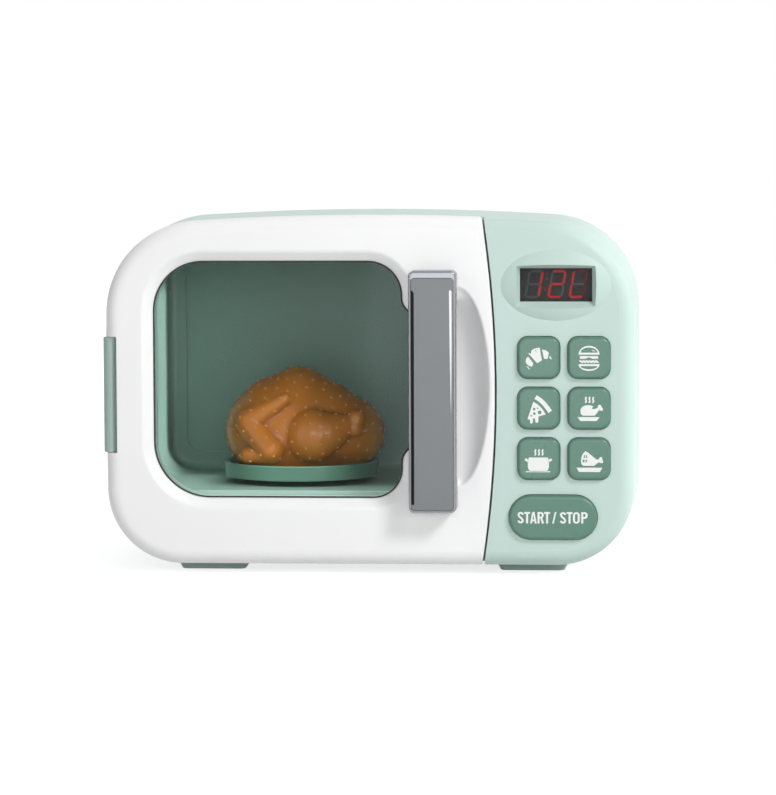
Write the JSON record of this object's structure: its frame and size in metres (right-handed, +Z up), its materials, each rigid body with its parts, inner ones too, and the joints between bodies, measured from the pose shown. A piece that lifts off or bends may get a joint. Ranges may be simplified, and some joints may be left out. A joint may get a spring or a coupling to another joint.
{
  "type": "toy oven",
  "caption": "Child's toy microwave-style oven: hinged door with window, lit cavity with motor-driven turntable and roast chicken, push-button panel with display, battery bay behind.",
  "frame": {"origin": "middle of the whole object's footprint, at the bottom of the feet", "axes": "+Z up, +X to the right seen from the front, door and controls face -Y"},
  "size_m": [0.2616, 0.1558, 0.1762],
  "materials": {
    "mint_shell": "smooth moulded plastic, light mint",
    "green_part": "smooth moulded plastic, mid green",
    "button_green": "smooth moulded plastic, grey green",
    "white_part": "smooth moulded plastic, white",
    "silver_part": "silver-painted plastic",
    "grey_facing": "grey painted plastic",
    "smoked_clear": "tinted clear plastic",
    "clear_part": "clear plastic",
    "dark_lens": "dark tinted plastic",
    "black_rubber": "matt rubber",
    "grey_rubber": "matt silicone rubber",
    "roast_brown": "satin moulded plastic, brown",
    "gear_white": "acetal plastic",
    "black_plastic": "matt plastic",
    "steel": "zinc-plated steel",
    "brass_part": "turned brass",
    "board_green": "glass-fibre board with green lacquer",
    "cell_wrap": "printed film sleeve"
  },
  "bodies": {
    "casing": {"front_casing": "mint_shell", "rear_casing": "mint_shell", "feet": "green_part", "casing_screws": "steel", "cavity_liner": "green_part", "liner_screws": "steel", "hinge_bracket": "green_part", "hinge_screws": "steel", "lamp_cover": "clear_part", "lamp_holder": "white_part", "cavity_lamp": "clear_part", "gearbox_base": "gear_white", "gearbox_cover": "gear_white", "gearbox_screws": "steel", "gear_pins": "steel", "drive_motor": "steel", "display_lens": "dark_lens", "display_module": "black_plastic", "keypad_membrane": "grey_rubber", "control_board": "board_green", "board_screws": "steel", "speaker": "black_plastic", "battery_tray": "mint_shell", "tray_screws": "steel", "batteries": "cell_wrap", "battery_contacts": "steel", "battery_cover": "mint_shell", "battery_cover_screw": "steel", "power_switch_body": "black_plastic", "switch_screws": "steel"},
    "door": {"door_frame": "white_part", "door_back": "white_part", "window_pane": "smoked_clear", "window_seal": "black_rubber", "hinge_pin": "steel", "door_handle": "silver_part", "handle_facing": "grey_facing", "handle_screws": "steel", "door_screws": "steel"},
    "turntable": {"turntable_plate": "button_green", "output_gear": "gear_white"},
    "chicken": {"roast_chicken": "roast_brown"},
    "idler": {"reduction_gear": "gear_white"},
    "motor_spindle": {"motor_pinion": "brass_part"},
    "switch_knob": {"power_switch_slider": "black_plastic"},
    "start_stop": {"start_button": "button_green"},
    "key_croissant": {"button_croissant": "button_green"},
    "key_burger": {"button_burger": "button_green"},
    "key_pizza": {"button_pizza": "button_green"},
    "key_roast": {"button_roast": "button_green"},
    "key_soup": {"button_soup": "button_green"},
    "key_ham": {"button_ham": "button_green"}
  },
  "joints": [
    {"name": "door_hinge", "type": "hinge", "parent": "casing", "child": "door", "pos_m": [-0.127, -0.0594, 0.0881], "axis": [0, 0, -1], "range_deg": [0, 105]},
    {"name": "turntable_spin", "type": "hinge", "parent": "casing", "child": "turntable", "pos_m": [-0.0405, 0.0111, 0.0421], "axis": [0, 0, 1], "continuous": true},
    {"name": "chicken_lift", "type": "slide", "parent": "turntable", "child": "chicken", "axis": [0, 0, 1], "range_m": [0, 0.04]},
    {"name": "idler_spin", "type": "hinge", "parent": "casing", "child": "idler", "pos_m": [-0.0125, 0.0111, 0.0129], "axis": [0, 0, 1], "continuous": true},
    {"name": "motor_spin", "type": "hinge", "parent": "casing", "child": "motor_spindle", "pos_m": [0.0099, 0.0111, 0.0129], "axis": [0, 0, 1], "continuous": true},
    {"name": "switch_slide", "type": "slide", "parent": "casing", "child": "switch_knob", "axis": [1, 0, 0], "range_m": [0, 0.004]},
    {"name": "start_press", "type": "slide", "parent": "casing", "child": "start_stop", "axis": [0, 1, 0], "range_m": [0, 0.0015], "stiffness_N_per_m": 400, "springref_m": -0.0005, "deforming": ["keypad_membrane"]},
    {"name": "croissant_press", "type": "slide", "parent": "casing", "child": "key_croissant", "axis": [0, 1, 0], "range_m": [0, 0.0015], "stiffness_N_per_m": 400, "springref_m": -0.0005, "deforming": ["keypad_membrane"]},
    {"name": "burger_press", "type": "slide", "parent": "casing", "child": "key_burger", "axis": [0, 1, 0], "range_m": [0, 0.0015], "stiffness_N_per_m": 400, "springref_m": -0.0005, "deforming": ["keypad_membrane"]},
    {"name": "pizza_press", "type": "slide", "parent": "casing", "child": "key_pizza", "axis": [0, 1, 0], "range_m": [0, 0.0015], "stiffness_N_per_m": 400, "springref_m": -0.0005, "deforming": ["keypad_membrane"]},
    {"name": "roast_press", "type": "slide", "parent": "casing", "child": "key_roast", "axis": [0, 1, 0], "range_m": [0, 0.0015], "stiffness_N_per_m": 400, "springref_m": -0.0005, "deforming": ["keypad_membrane"]},
    {"name": "soup_press", "type": "slide", "parent": "casing", "child": "key_soup", "axis": [0, 1, 0], "range_m": [0, 0.0015], "stiffness_N_per_m": 400, "springref_m": -0.0005, "deforming": ["keypad_membrane"]},
    {"name": "ham_press", "type": "slide", "parent": "casing", "child": "key_ham", "axis": [0, 1, 0], "range_m": [0, 0.0015], "stiffness_N_per_m": 400, "springref_m": -0.0005, "deforming": ["keypad_membrane"]}
  ],
  "couplings": [
    {"joint": "idler_spin", "follows": "turntable_spin", "ratio": -4},
    {"joint": "motor_spin", "follows": "turntable_spin", "ratio": 12}
  ]
}
